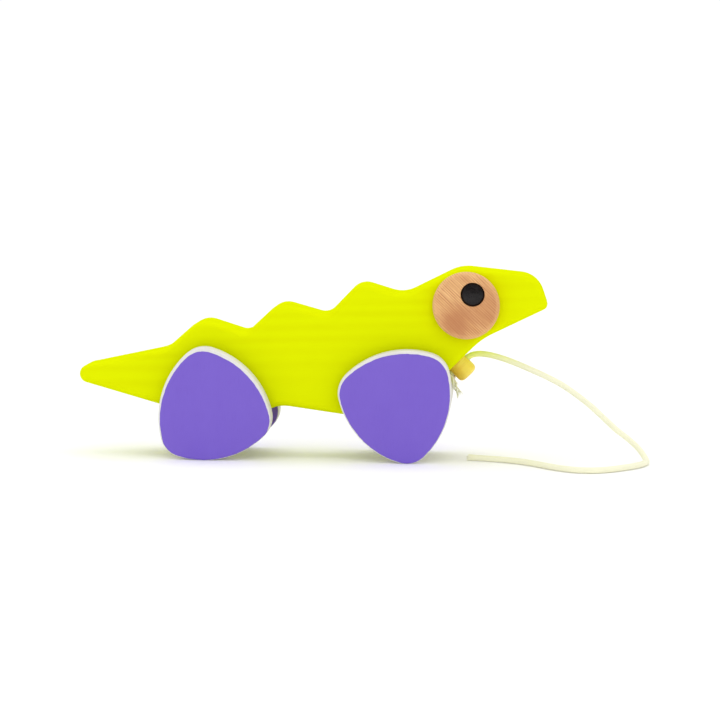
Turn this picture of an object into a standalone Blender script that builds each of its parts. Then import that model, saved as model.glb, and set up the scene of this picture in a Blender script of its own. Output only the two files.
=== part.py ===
"""Pull-along wooden crocodile on four three-cornered wheels.

Metres, +Z up, +X towards the snout, the floor at Z = 0 and the origin under the
middle of the toy. The toy's left side is +Y and its right side is -Y.
"""

import math

import bmesh
import bpy
from mathutils import Matrix, Vector

SIDES = {"right": -1.0, "left": 1.0}
GAP = 0.0003                 # left between pieces that touch or are glued

# Body: a shaped plank with rounded edges. Each corner is (x, z, fillet radius),
# anticlockwise seen from the toy's right side.
BODY_THICKNESS = 0.032
BODY_EDGE_RADIUS = 0.003
BODY_CORNERS = [
    (-0.1457, 0.0459, 0.0050),   # tail tip
    (-0.0460, 0.0181, 0.0100),   # rear haunch, under the rear axle
    (-0.0175, 0.0296, 0.0200),   # belly, rear end
    (0.0530, 0.0202, 0.0100),    # front haunch, under the front axle
    (0.0680, 0.0420, 0.0150),    # foot of the chest
    (0.0940, 0.0680, 0.0400),    # throat
    (0.1308, 0.0862, 0.0035),    # lower corner of the snout
    (0.1247, 0.1035, 0.0145),    # upper corner of the snout
    (0.0818, 0.1078, 0.0220),    # brow
    (0.0501, 0.0917, 0.0170),    # nape
    (0.0259, 0.0989, 0.0100),    # front crest
    (0.0079, 0.0798, 0.0080),
    (-0.0184, 0.0870, 0.0110),   # middle crest
    (-0.0369, 0.0694, 0.0070),
    (-0.0623, 0.0773, 0.0115),   # rear crest
    (-0.0813, 0.0601, 0.0220),   # root of the tail
]

# Wheels: rounded three-cornered plates whose width is the same in every direction.
WHEEL_WIDTH = 0.0625
WHEEL_CORNER_RADIUS = 0.0141
WHEEL_THICKNESS = 0.012
WHEEL_EDGE_RADIUS = 0.00125
WHEEL_INNER_Y = 0.020
WHEEL_HUB_DEPTH = 0.008
REAR_AXLE_X = -0.0541
FRONT_AXLE_X = 0.04875
REAR_CORNER_ANGLE = math.radians(103.8)    # of one corner, from +X towards +Z
FRONT_CORNER_ANGLE = math.radians(44.4)

# Axles: dowels that turn in the body and are glued into the wheels.
AXLE_RADIUS = 0.004
AXLE_CHAMFER = 0.0005

# Eyes: a disc on each side of the head, pinned by the pupil plug.
EYE_X, EYE_Z = 0.0852, 0.0869
EYE_RADIUS = 0.0185
EYE_THICKNESS = 0.007
EYE_EDGE_RADIUS = 0.0020
PUPIL_X, PUPIL_Z = 0.0887, 0.0931
PUPIL_RADIUS = 0.0063
PUPIL_RECESS = 0.0008
PUPIL_HOLE_DEPTH = 0.0085

# Towing peg: a dowel standing at right angles in the 45 degree chest, with a
# cross hole for the cord close to the chest.
PEG_FOOT = Vector((0.0800, 0.0, 0.0540))
PEG_OUTWARD = Vector((1.0, 0.0, -1.0)).normalized()
PEG_UPWARD = Vector((1.0, 0.0, 1.0)).normalized()
PEG_RADIUS = 0.0060
PEG_HOLE_DEPTH = 0.0120
PEG_STANDS_OUT = 0.0105
PEG_EDGE_RADIUS = 0.0027
CROSS_HOLE_HEIGHT = 0.0024   # above the chest

# Pull cord: a soft cotton cord threaded through the peg and knotted below it.
CORD_RADIUS = 0.0017
CORD_POINTS = 50
CORD_ROUTE = [
    (0.0770, 0.0000, 0.0476),    # below the peg, at the knot
    (0.0812, 0.0000, 0.0518),
    (0.0855, 0.0000, 0.0561),    # above the peg
    (0.0883, -0.0001, 0.0579),
    (0.0916, -0.0003, 0.0587),
    (0.0960, -0.0008, 0.0586),
    (0.1015, -0.0014, 0.0576),
    (0.1090, -0.0020, 0.0554),
    (0.1186, -0.0026, 0.0517),
    (0.1287, -0.0030, 0.0474),
    (0.1387, -0.0033, 0.0424),
    (0.1477, -0.0036, 0.0364),
    (0.1553, -0.0038, 0.0306),
    (0.1622, -0.0040, 0.0244),
    (0.1691, -0.0043, 0.0181),
    (0.1766, -0.0047, 0.0124),
    (0.1818, -0.0055, 0.0077),
    (0.1844, -0.0076, 0.0045),
    (0.1858, -0.0117, 0.0023),
    (0.1860, -0.0165, 0.0018),   # down on the floor
    (0.1848, -0.0222, 0.0018),
    (0.1822, -0.0292, 0.0018),
    (0.1778, -0.0368, 0.0018),
    (0.1722, -0.0440, 0.0018),
    (0.1635, -0.0530, 0.0018),
    (0.1545, -0.0582, 0.0018),
    (0.1460, -0.0572, 0.0018),
    (0.1380, -0.0513, 0.0018),
    (0.1310, -0.0430, 0.0018),
    (0.1243, -0.0340, 0.0018),
    (0.1173, -0.0262, 0.0018),
    (0.1100, -0.0208, 0.0018),
    (0.1025, -0.0172, 0.0018),
    (0.0950, -0.0144, 0.0018),
    (0.0880, -0.0118, 0.0018),   # free end
]
KNOT_CENTRE = Vector((0.0757, 0.0000, 0.0452))
KNOT_SIZE = (0.0028, 0.0030, 0.0022)    # half sizes outwards, across and upwards
KNOT_TAIL = [
    (0.0760, -0.0010, 0.0459),
    (0.0776, -0.0022, 0.0445),
    (0.0787, -0.0028, 0.0425),
    (0.0797, -0.0032, 0.0402),
    (0.0814, -0.0035, 0.0374),
    (0.0832, -0.0038, 0.0352),
]

ROUND_SEGMENTS = 24
FILLET_STEP = math.radians(13.0)
BODY_EDGE_STEPS = 3
WHEEL_EDGE_STEPS = 2


def remove_all_objects():
    for item in list(bpy.data.objects):
        bpy.data.objects.remove(item, do_unlink=True)


def make_material(name, colour, roughness):
    material = bpy.data.materials.new(name)
    material.use_nodes = True
    shader = material.node_tree.nodes["Principled BSDF"]
    shader.inputs["Base Color"].default_value = (*colour, 1.0)
    shader.inputs["Roughness"].default_value = roughness
    shader.inputs["Metallic"].default_value = 0.0
    material.diffuse_color = (*colour, 1.0)
    return material


def add_object(name, data, material=None, parent=None, location=(0.0, 0.0, 0.0)):
    item = bpy.data.objects.new(name, data)
    bpy.context.scene.collection.objects.link(item)
    item.location = location
    if parent is not None:
        item.parent = parent
    if material is not None:
        data.materials.append(material)
    return item


def mesh_from_bmesh(name, bm, smooth_angle=35.0):
    bmesh.ops.recalc_face_normals(bm, faces=bm.faces)
    mesh = bpy.data.meshes.new(name)
    bm.to_mesh(mesh)
    bm.free()
    mesh.shade_smooth()
    mesh.set_sharp_from_angle(angle=math.radians(smooth_angle))
    return mesh


def fillet_outline(corners, step):
    """Points of a closed outline whose corners are rounded by arcs."""
    points = []
    count = len(corners)
    for index, (x, z, radius) in enumerate(corners):
        here = Vector((x, z))
        back = (Vector(corners[index - 1][:2]) - here).normalized()
        ahead = (Vector(corners[(index + 1) % count][:2]) - here).normalized()
        half_opening = back.angle(ahead) / 2.0
        middle = (back + ahead).normalized()
        centre = here + middle * radius / math.sin(half_opening)
        start = here + back * radius / math.tan(half_opening) - centre
        turn = math.pi - 2.0 * half_opening
        if back.cross(ahead) > 0.0:
            turn = -turn
        pieces = max(2, math.ceil(abs(turn) / step))
        for piece in range(pieces + 1):
            arm = Matrix.Rotation(turn * piece / pieces, 2) @ start
            points.append(centre + arm)
    return points


def inset_outline(points, distance):
    """The outline moved inwards, for an anticlockwise outline."""
    moved = []
    count = len(points)
    for index, here in enumerate(points):
        before = (here - points[index - 1]).normalized()
        after = (points[(index + 1) % count] - here).normalized()
        normal_before = Vector((-before.y, before.x))
        normal_after = Vector((-after.y, after.x))
        mitre = (normal_before + normal_after) / (1.0 + normal_before.dot(normal_after))
        moved.append(here + mitre * distance)
    return moved


def rounded_slab(name, outline, y_low, y_high, edge_radius, edge_steps):
    """An outline in X and Z made into a plate along Y with rounded edges."""
    layers = []
    for step in range(edge_steps + 1):
        angle = math.pi / 2.0 * step / edge_steps
        inset = edge_radius * (1.0 - math.sin(angle))
        layers.append((y_low + edge_radius * (1.0 - math.cos(angle)), inset))
    layers += [(y_low + y_high - y, inset) for y, inset in reversed(layers)]
    bm = bmesh.new()
    rings = []
    for y, inset in layers:
        ring = [bm.verts.new((p.x, y, p.y)) for p in inset_outline(outline, inset)]
        rings.append(ring)
    for lower, upper in zip(rings, rings[1:]):
        for index in range(len(lower)):
            after = (index + 1) % len(lower)
            bm.faces.new((lower[index], lower[after], upper[after], upper[index]))
    bm.faces.new(rings[0])
    bm.faces.new(rings[-1])
    return mesh_from_bmesh(name, bm)


def turned(name, profile, origin, axis, segments=ROUND_SEGMENTS):
    """A closed turned shape; profile is (distance along the axis, radius)."""
    axis = Vector(axis).normalized()
    side = axis.orthogonal().normalized()
    across = axis.cross(side)
    bm = bmesh.new()
    rings = []
    for distance, radius in profile:
        centre = Vector(origin) + axis * distance
        if radius == 0.0:
            rings.append([bm.verts.new(centre)])
            continue
        ring = []
        for index in range(segments):
            angle = 2.0 * math.pi * index / segments
            arm = side * math.cos(angle) + across * math.sin(angle)
            ring.append(bm.verts.new(centre + arm * radius))
        rings.append(ring)
    for lower, upper in zip(rings, rings[1:]):
        for index in range(segments):
            after = (index + 1) % segments
            corners = [lower[index % len(lower)], lower[after % len(lower)],
                       upper[after % len(upper)], upper[index % len(upper)]]
            bm.faces.new(list(dict.fromkeys(corners)))
    for ring in (rings[0], rings[-1]):
        if len(ring) > 1:
            bm.faces.new(ring)
    return mesh_from_bmesh(name, bm)


def rounded_rod(length, radius, edge_radius, steps=3):
    """Profile of a rod whose two ends have rounded edges."""
    end = []
    for step in range(steps + 1):
        angle = math.pi / 2.0 * step / steps
        distance = edge_radius * (1.0 - math.cos(angle))
        end.append((distance, radius - edge_radius * (1.0 - math.sin(angle))))
    return end + [(length - distance, size) for distance, size in reversed(end)]


def ellipsoid(name, centre, axes, sizes, segments=12, steps=8):
    """A closed ball whose half sizes along three axes may differ."""
    profile = []
    for step in range(steps + 1):
        angle = math.pi * step / steps
        radius = 0.0 if step in (0, steps) else math.sin(angle)
        profile.append((-math.cos(angle), radius))
    mesh = turned(name, profile, (0.0, 0.0, 0.0), (0.0, 0.0, 1.0), segments)
    rows = [[axes[column][row] * sizes[column] for column in range(3)] for row in range(3)]
    mesh.transform(Matrix.Translation(centre) @ Matrix(rows).to_4x4())
    return mesh


def tube(name, points, radius, segments=10):
    """A closed tube along a gently bending run of points."""
    points = [Vector(point) for point in points]
    bm = bmesh.new()
    rings = []
    side = (points[1] - points[0]).orthogonal().normalized()
    for index, point in enumerate(points):
        ahead = points[min(index + 1, len(points) - 1)]
        behind = points[max(index - 1, 0)]
        along = (ahead - behind).normalized()
        side = (side - along * side.dot(along)).normalized()
        across = along.cross(side)
        ring = []
        for step in range(segments):
            angle = 2.0 * math.pi * step / segments
            arm = side * math.cos(angle) + across * math.sin(angle)
            ring.append(bm.verts.new(point + arm * radius))
        rings.append(ring)
    for lower, upper in zip(rings, rings[1:]):
        for index in range(segments):
            after = (index + 1) % segments
            bm.faces.new((lower[index], lower[after], upper[after], upper[index]))
    bm.faces.new(rings[0])
    bm.faces.new(rings[-1])
    return mesh_from_bmesh(name, bm, smooth_angle=60.0)


def add_boolean(target, helper, operation):
    helper.hide_render = True
    helper.display_type = "WIRE"
    modifier = target.modifiers.new(helper.name, "BOOLEAN")
    modifier.operation = operation
    modifier.solver = "EXACT"
    modifier.object = helper


def drill(target, name, origin, axis, depth, radius, parent=None):
    """A round hole from a point outside the target, cut by a hidden rod."""
    rod = turned(name, [(0.0, radius), (depth, radius)], origin, axis)
    cutter = add_object(name, rod, parent=parent)
    add_boolean(target, cutter, "DIFFERENCE")


def wheel_outline():
    """The three-cornered outline, one corner up, centred on the axle."""
    side = WHEEL_WIDTH - 2.0 * WHEEL_CORNER_RADIUS
    reach = side / math.sqrt(3.0)
    corner_steps, flank_steps = 6, 8
    points = []
    for corner in range(3):
        direction = math.pi / 2.0 + corner * 2.0 * math.pi / 3.0
        tip = Vector((math.cos(direction), math.sin(direction))) * reach
        for step in range(corner_steps):
            normal = direction - math.pi / 6.0 + math.pi / 3.0 * step / corner_steps
            arm = Vector((math.cos(normal), math.sin(normal)))
            points.append(tip + arm * WHEEL_CORNER_RADIUS)
        opposite = direction + math.pi / 3.0 + math.pi
        hinge = Vector((math.cos(opposite), math.sin(opposite))) * reach
        for step in range(flank_steps):
            normal = direction + math.pi / 6.0 + math.pi / 3.0 * step / flank_steps
            arm = Vector((math.cos(normal), math.sin(normal)))
            points.append(hinge + arm * (side + WHEEL_CORNER_RADIUS))
    return points


def axle_height(corner_angle):
    """Height of the axle when one corner of the wheel points at corner_angle."""
    turn = Matrix.Rotation(corner_angle - math.pi / 2.0, 2)
    return -min((turn @ point).y for point in wheel_outline())


def make_body(material):
    outline = fillet_outline(BODY_CORNERS, FILLET_STEP)
    half = BODY_THICKNESS / 2.0
    mesh = rounded_slab("body", outline, -half, half, BODY_EDGE_RADIUS, BODY_EDGE_STEPS)
    body = add_object("body", mesh, material)
    margin = 0.002
    bores = (("rear_axle_bore", REAR_AXLE_X, REAR_CORNER_ANGLE),
             ("front_axle_bore", FRONT_AXLE_X, FRONT_CORNER_ANGLE))
    for name, x, corner_angle in bores:
        start = (x, -half - margin, axle_height(corner_angle))
        drill(body, name, start, (0.0, 1.0, 0.0), BODY_THICKNESS + 2.0 * margin,
              AXLE_RADIUS + GAP)
    for side, sign in SIDES.items():
        start = (PUPIL_X, sign * (half + margin), PUPIL_Z)
        drill(body, "pupil_hole_" + side, start, (0.0, -sign, 0.0),
              PUPIL_HOLE_DEPTH + margin, PUPIL_RADIUS + GAP)
    drill(body, "peg_hole", PEG_FOOT + PEG_OUTWARD * margin, -PEG_OUTWARD,
          PEG_HOLE_DEPTH + margin, PEG_RADIUS + GAP)
    return body


def make_axle_set(label, x, corner_angle, wheel_material, axle_material):
    """An empty on the joint's axis with one axle and its two wheels."""
    frame = add_object(label + "_axle_frame", None, location=(x, 0.0, axle_height(corner_angle)))
    frame.rotation_euler = (0.0, math.pi / 2.0 - corner_angle, 0.0)
    reach = WHEEL_INNER_Y + WHEEL_HUB_DEPTH - GAP
    profile = rounded_rod(2.0 * reach, AXLE_RADIUS, AXLE_CHAMFER, steps=1)
    mesh = turned(label + "_axle", profile, (0.0, -reach, 0.0), (0.0, 1.0, 0.0))
    add_object(label + "_axle", mesh, axle_material, parent=frame)
    for side, sign in SIDES.items():
        name = label + "_wheel_" + side
        plate = rounded_slab(name, wheel_outline(), 0.0, WHEEL_THICKNESS,
                             WHEEL_EDGE_RADIUS, WHEEL_EDGE_STEPS)
        wheel = add_object(name, plate, wheel_material, parent=frame,
                           location=(0.0, sign * WHEEL_INNER_Y, 0.0))
        wheel.rotation_euler = (0.0, 0.0, 0.0 if sign > 0.0 else math.pi)
        margin = 0.002
        drill(wheel, name + "_hub", (0.0, -margin, 0.0), (0.0, 1.0, 0.0),
              WHEEL_HUB_DEPTH + margin, AXLE_RADIUS + GAP, parent=wheel)


def make_eye(side, sign, disc_material, pupil_material):
    back = sign * (BODY_THICKNESS / 2.0 + GAP)
    outward = (0.0, sign, 0.0)
    profile = rounded_rod(EYE_THICKNESS, EYE_RADIUS, EYE_EDGE_RADIUS)
    mesh = turned("eye_disc_" + side, profile, (EYE_X, back, EYE_Z), outward, segments=40)
    disc = add_object("eye_disc_" + side, mesh, disc_material)
    margin = 0.002
    drill(disc, "eye_hole_" + side, (PUPIL_X, back - sign * margin, PUPIL_Z), outward,
          EYE_THICKNESS + 2.0 * margin, PUPIL_RADIUS + GAP)
    foot = BODY_THICKNESS / 2.0 - PUPIL_HOLE_DEPTH + GAP
    face = abs(back) + EYE_THICKNESS - PUPIL_RECESS
    plug = turned("pupil_" + side, rounded_rod(face - foot, PUPIL_RADIUS, 0.0004, steps=1),
                  (PUPIL_X, sign * foot, PUPIL_Z), outward)
    add_object("pupil_" + side, plug, pupil_material)


def make_peg(material):
    """A dowel glued in the chest, drilled across for the cord."""
    depth = PEG_HOLE_DEPTH - GAP
    foot = [(-depth, PEG_RADIUS - 0.0006), (-depth + 0.0006, PEG_RADIUS)]
    end = rounded_rod(2.0 * PEG_STANDS_OUT, PEG_RADIUS, PEG_EDGE_RADIUS)
    end = end[len(end) // 2:]
    profile = foot + [(distance - PEG_STANDS_OUT, radius) for distance, radius in end]
    mesh = turned("towing_peg", profile, PEG_FOOT, PEG_OUTWARD)
    peg = add_object("towing_peg", mesh, material)
    reach = PEG_RADIUS + 0.002
    start = PEG_FOOT + PEG_OUTWARD * CROSS_HOLE_HEIGHT - PEG_UPWARD * reach
    drill(peg, "cross_hole", start, PEG_UPWARD, 2.0 * reach, CORD_RADIUS + GAP)


def make_knot(material):
    """The knot that keeps the cord in the peg, and its short tail."""
    axes = (PEG_OUTWARD, Vector((0.0, 1.0, 0.0)), PEG_UPWARD)
    knot = add_object("cord_knot", ellipsoid("cord_knot", KNOT_CENTRE, axes, KNOT_SIZE), material)
    tail = add_object("knot_tail", tube("knot_tail", KNOT_TAIL, CORD_RADIUS))
    add_boolean(knot, tail, "UNION")


def smooth_route(route, samples):
    """Points spread evenly along a smooth curve through the route points."""
    points = [Vector(point) for point in route]
    points = [2.0 * points[0] - points[1]] + points + [2.0 * points[-1] - points[-2]]
    dense = []
    steps = 16
    for index in range(1, len(points) - 2):
        four = points[index - 1:index + 3]
        for step in range(steps):
            dense.append(catmull_rom(four, step / steps))
    dense.append(points[-2])
    travelled = [0.0]
    for first, second in zip(dense, dense[1:]):
        travelled.append(travelled[-1] + (second - first).length)
    even = []
    place = 0
    for sample in range(samples):
        target = travelled[-1] * sample / (samples - 1)
        while place < len(travelled) - 2 and travelled[place + 1] < target:
            place += 1
        share = (target - travelled[place]) / (travelled[place + 1] - travelled[place])
        even.append(dense[place].lerp(dense[place + 1], share))
    return even


def catmull_rom(four, share):
    """The point at a share of the way from the second to the third of four points."""
    before, here, ahead, beyond = four
    span = (ahead - here).length
    leave = tangent(before, here, ahead) * span
    arrive = tangent(here, ahead, beyond) * span
    return (here * (2.0 * share ** 3 - 3.0 * share ** 2 + 1.0)
            + leave * (share ** 3 - 2.0 * share ** 2 + share)
            + ahead * (3.0 * share ** 2 - 2.0 * share ** 3)
            + arrive * (share ** 3 - share ** 2))


def tangent(before, here, ahead):
    """The curve's direction at a route point, leaning towards the nearer neighbour."""
    back, forth = here - before, ahead - here
    weighted = back / back.length ** 2 + forth / forth.length ** 2
    return weighted * back.length * forth.length / (back.length + forth.length)


def make_cord(material):
    points = smooth_route(CORD_ROUTE, CORD_POINTS)
    curve = bpy.data.curves.new("pull_cord", "CURVE")
    curve.dimensions = "3D"
    curve.bevel_depth = CORD_RADIUS
    curve.bevel_resolution = 2
    curve.use_fill_caps = True
    spline = curve.splines.new("POLY")
    spline.points.add(len(points) - 1)
    for slot, point in zip(spline.points, points):
        slot.co = (*point, 1.0)
    add_object("pull_cord", curve, material)


def build():
    remove_all_objects()
    lime = make_material("lime_paint", (0.76, 0.84, 0.005), 0.45)
    purple = make_material("purple_paint", (0.225, 0.145, 0.63), 0.5)
    beech = make_material("beech", (0.68, 0.40, 0.18), 0.55)
    black = make_material("black_paint", (0.02, 0.016, 0.016), 0.3)
    cotton = make_material("cotton", (0.90, 0.88, 0.70), 0.9)
    make_body(lime)
    make_axle_set("rear", REAR_AXLE_X, REAR_CORNER_ANGLE, purple, beech)
    make_axle_set("front", FRONT_AXLE_X, FRONT_CORNER_ANGLE, purple, beech)
    for side, sign in SIDES.items():
        make_eye(side, sign, beech, black)
    make_peg(beech)
    make_knot(cotton)
    make_cord(cotton)


build()
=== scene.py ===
"""Looks of a pull-along wooden crocodile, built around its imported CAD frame.

Metres, +Z up, +X towards the snout, the floor at Z = 0. The toy's right side is -Y.
"""

import math
import random

import bmesh
import bpy
from mathutils import Matrix, Vector, noise


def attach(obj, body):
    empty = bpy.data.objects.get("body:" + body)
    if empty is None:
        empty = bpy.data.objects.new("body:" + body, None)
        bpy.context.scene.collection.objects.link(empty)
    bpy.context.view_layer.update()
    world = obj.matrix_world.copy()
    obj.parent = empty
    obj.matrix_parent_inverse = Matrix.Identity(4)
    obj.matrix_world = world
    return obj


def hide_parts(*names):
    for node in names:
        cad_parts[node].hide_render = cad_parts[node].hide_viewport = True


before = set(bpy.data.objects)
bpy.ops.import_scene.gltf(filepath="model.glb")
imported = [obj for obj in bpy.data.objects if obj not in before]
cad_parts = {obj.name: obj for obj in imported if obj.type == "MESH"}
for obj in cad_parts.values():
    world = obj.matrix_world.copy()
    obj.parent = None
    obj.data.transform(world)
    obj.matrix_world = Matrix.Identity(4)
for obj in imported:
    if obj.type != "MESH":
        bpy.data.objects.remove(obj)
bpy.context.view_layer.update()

MM = 0.001
SIDES = {"right": -1.0, "left": 1.0}

# Camera: a long lens 1.4 m off the toy's right side, beside the snout and a little higher.
CAMERA_PLACE = (0.1066, -1.4319, 0.1824)
CAMERA_YAW = math.radians(3.225)
CAMERA_PITCH = math.radians(-5.11)
CAMERA_ROLL = math.radians(0.613)
CAMERA_LENS = 128.5          # millimetres, like the sensor
CAMERA_SENSOR = 36.0
CAMERA_CLIP = (0.05, 20.0)

# Light: a pale tent all round the toy, and two very soft distant lights.
HORIZON_BRIGHTNESS = 1.03
SKY_BRIGHTNESS = 0.82
SKY_EDGE = (0.08, 0.25)              # sines of the heights where the horizon turns to sky
CAMERA_SIDE = (0.06, -0.99, 0.12)    # the part of the tent that is dimmed
CAMERA_SIDE_EDGE = (0.70, 0.97)      # cosines of the angles where the dimming starts and ends
CAMERA_SIDE_SHARE = 0.30             # brightness left in the dimmed part
GLOWS = [
    # name, strength, spread in degrees, direction it shines along, seen in reflections
    ("overhead_glow", 0.78, 70.0, (0.05, -0.10, -1.0), True),
    ("front_glow", 0.75, 60.0, (-0.10, 0.90, -0.42), False),
]
FLOOR_REACH = 6.0
FLOOR_EMISSION = 0.05

# Meshes.
SHARP_ANGLE = 35.0           # degrees; edges that turn more than this stay crisp
CORD_SHARP_ANGLE = 80.0      # the braid stays soft; only the cut ends are crisp
EDGE_SUPPORT = 0.0004        # ring that keeps a face flat beside its rounded edge
EDGE_STEPS = 8
HOLE_SEGMENTS = 64
HOLE_OVERSHOOT = 0.002       # how far a cutter reaches past the surface
HOLE_CLEARANCE = 0.0003
DOWEL_SEGMENTS = 96          # round the peg and the pupils

# Body, as in the CAD: (x, z, fillet radius) of each corner of the plank.
BODY_THICKNESS = 0.032
BODY_EDGE_RADIUS = 0.003
BODY_CORNER_STEP = math.radians(3.0)
BODY_CORNERS = [
    (-0.1457, 0.0459, 0.0050),   # tail tip
    (-0.0460, 0.0181, 0.0100),   # rear haunch
    (-0.0175, 0.0296, 0.0200),   # belly, rear end
    (0.0530, 0.0202, 0.0100),    # front haunch
    (0.0680, 0.0420, 0.0150),    # foot of the chest
    (0.0940, 0.0680, 0.0400),    # throat
    (0.1308, 0.0862, 0.0035),    # lower corner of the snout
    (0.1247, 0.1035, 0.0145),    # upper corner of the snout
    (0.0818, 0.1078, 0.0220),    # brow
    (0.0501, 0.0917, 0.0170),    # nape
    (0.0259, 0.0989, 0.0100),    # front crest
    (0.0079, 0.0798, 0.0080),
    (-0.0184, 0.0870, 0.0110),   # middle crest
    (-0.0369, 0.0694, 0.0070),
    (-0.0623, 0.0773, 0.0115),   # rear crest
    (-0.0813, 0.0601, 0.0220),   # root of the tail
]

# Wheels: rounded three-cornered plates of constant width.
WHEEL_WIDTH = 0.0625
WHEEL_CORNER_RADIUS = 0.0141
WHEEL_THICKNESS = 0.012
WHEEL_EDGE_RADIUS = 0.00125
WHEEL_EDGE_STEPS = 6
WHEEL_FACE_INSETS = (0.003, 0.008)   # rings that divide a wheel's flat faces
WHEEL_HUB_INSET = 0.010
WHEEL_INNER_Y = 0.020
HUB_DEPTH = 0.008
AXLE_RADIUS = 0.004
BORE_RADIUS = 0.0043
AXLE_REACH = 0.0277
AXLE_END_RADIUS = 0.0005
AXLE_SEGMENTS = 64
PAINT_MARGIN = 0.00095       # bare wood left round a wheel's painted face
LEAST_MARGIN = 0.00025       # the least that is left where the painted shape is off centre
PAINT_WOBBLE = 0.00012       # this and the softness together stay below the least margin
PAINT_SOFTNESS = 0.00009
AXLE_SETS = {
    # body that turns, x, z, direction of one corner, how far the painted shape sits off centre
    "rear": ("rear_wheelset", -0.0541, 0.029158, math.radians(103.8), (0.00010, -0.00115)),
    "front": ("front_wheelset", 0.04875, 0.033239, math.radians(44.4), (0.00010, -0.00070)),
}

# Eyes and pupils.
EYE_X, EYE_Z = 0.0852, 0.0869
EYE_RADIUS = 0.0185
EYE_BACK = 0.0163
EYE_FRONT = 0.0233
EYE_EDGE_RADIUS = 0.0020
EYE_SEGMENTS = 128
EYE_MIDDLE_RADIUS = 0.0115   # ring between the rim and the hole
EYE_HOLE_BEVEL = 0.00035
EYE_HOLE_SUPPORT = 0.0003    # ring that keeps the face flat beside the bevel
EYE_GRAIN_TILT = math.radians(-43.0)
PUPIL_X, PUPIL_Z = 0.0887, 0.0931
PUPIL_RADIUS = 0.0065
PUPIL_HOLE_RADIUS = 0.0066
PUPIL_FRONT = 0.0225
PUPIL_FOOT = 0.0078
PUPIL_DOME = 0.0009
PUPIL_EDGE_RADIUS = 0.0005
PUPIL_FOOT_CHAMFER = 0.0004

# Towing peg, square to the chest, with a cross hole for the cord.
PEG_FOOT = Vector((0.0800, 0.0, 0.0540))
PEG_OUTWARD = Vector((1.0, 0.0, -1.0)).normalized()
PEG_UPWARD = Vector((1.0, 0.0, 1.0)).normalized()
PEG_RADIUS = 0.0060
PEG_STANDS_OUT = 0.0105
PEG_DEPTH = 0.0117
PEG_EDGE_RADIUS = 0.0027
PEG_DOME = 0.00018
PEG_FOOT_CHAMFER = 0.0006
PEG_HOLE_DEPTH = 0.0120
CROSS_HOLE_HEIGHT = 0.0024
CROSS_HOLE_RADIUS = 0.0020

# Pull cord: its whole length lies in view, from the knot to its bare end.
CORD_DIAMETER = 0.0034
CORD_RINGS = 760
CORD_SEGMENTS = 40
CORD_LUMP, CORD_LUMP_LENGTH = 0.00004, 0.011
CORD_FLARE = 0.00012         # the bare end is this much thicker in radius
CORD_FLARE_START, CORD_FLARE_SHARE = 0.985, 0.015
CORD_EXIT = (0.0855, 0.0, 0.0561)
CORD_ROUTE = [
    (0.0770, 0.0000, 0.0476),    # below the peg, at the knot
    (0.0812, 0.0000, 0.0518),
    (0.0855, 0.0000, 0.0561),    # above the peg
    (0.0883, -0.0001, 0.0579),
    (0.0916, -0.0003, 0.0587),
    (0.0960, -0.0008, 0.0586),
    (0.1015, -0.0014, 0.0576),
    (0.1090, -0.0020, 0.0554),
    (0.1186, -0.0026, 0.0517),
    (0.1287, -0.0030, 0.0474),
    (0.1387, -0.0033, 0.0424),
    (0.1477, -0.0036, 0.0364),
    (0.1553, -0.0038, 0.0306),
    (0.1622, -0.0040, 0.0244),
    (0.1691, -0.0043, 0.0181),
    (0.1766, -0.0047, 0.0124),
    (0.1818, -0.0055, 0.0077),
    (0.1844, -0.0076, 0.0045),
    (0.1858, -0.0117, 0.0023),
    (0.1860, -0.0165, 0.0018),   # down on the floor
    (0.1848, -0.0222, 0.0018),
    (0.1822, -0.0292, 0.0018),
    (0.1778, -0.0368, 0.0018),
    (0.1722, -0.0440, 0.0018),
    (0.1635, -0.0530, 0.0018),
    (0.1545, -0.0582, 0.0018),
    (0.1460, -0.0572, 0.0018),
    (0.1380, -0.0513, 0.0018),
    (0.1310, -0.0430, 0.0018),
    (0.1243, -0.0340, 0.0018),
    (0.1173, -0.0262, 0.0018),
    (0.1100, -0.0208, 0.0018),
    (0.1025, -0.0172, 0.0018),
    (0.0950, -0.0144, 0.0018),
    (0.0880, -0.0118, 0.0018),   # free end
]
BRAID_STRANDS = 8            # running each way round the cord
BRAID_LEAD = 0.0125          # length over which a strand goes once round
BRAID_RELIEF = 0.00016
KNOT_RELIEF = 0.00010
YARN_RELIEF = 0.00006
PLAIN_CROWN, END_CROWN = 0.9, 0.4    # braid height stored on a plain yarn and at a cut end; a lower height gets more painted shade
LIME_TINT_REACH = 0.040          # length next to the peg that is tinted lime
LIME_TINT_STRENGTH = 0.75

# Knot under the peg: two wraps round the cord, and a short tail that has come apart.
KNOT_CENTRE = PEG_FOOT + PEG_OUTWARD * 0.0032 - PEG_UPWARD * 0.0093
KNOT_STRAND = 0.0011         # radius of the strand
KNOT_WRAP = 0.0020           # radius of the wraps
KNOT_CORE = 0.0013           # radius of the part that is wrapped
KNOT_TURNS = 2.0
KNOT_LOW, KNOT_RISE = -0.0022, 0.0042    # where the wraps start and how far they climb
KNOT_SEGMENTS = 28
TAIL_YARNS = 3
TAIL_YARN_OFF = 0.00095      # from the tail's middle line to a yarn's
TAIL_YARN_LEAD = 0.014       # length over which a yarn goes once round
TAIL_YARN_RADIUS = 0.00090
TAIL_YARN_TAPER = 0.00050    # how much thinner a yarn is at its end
TAIL_YARN_SEGMENTS = 20
TAIL_ROUTE = [
    (0.0757, -0.0012, 0.0462),
    (0.0776, -0.0022, 0.0445),
    (0.0787, -0.0028, 0.0425),
    (0.0797, -0.0032, 0.0402),
    (0.0812, -0.0035, 0.0376),
]
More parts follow.
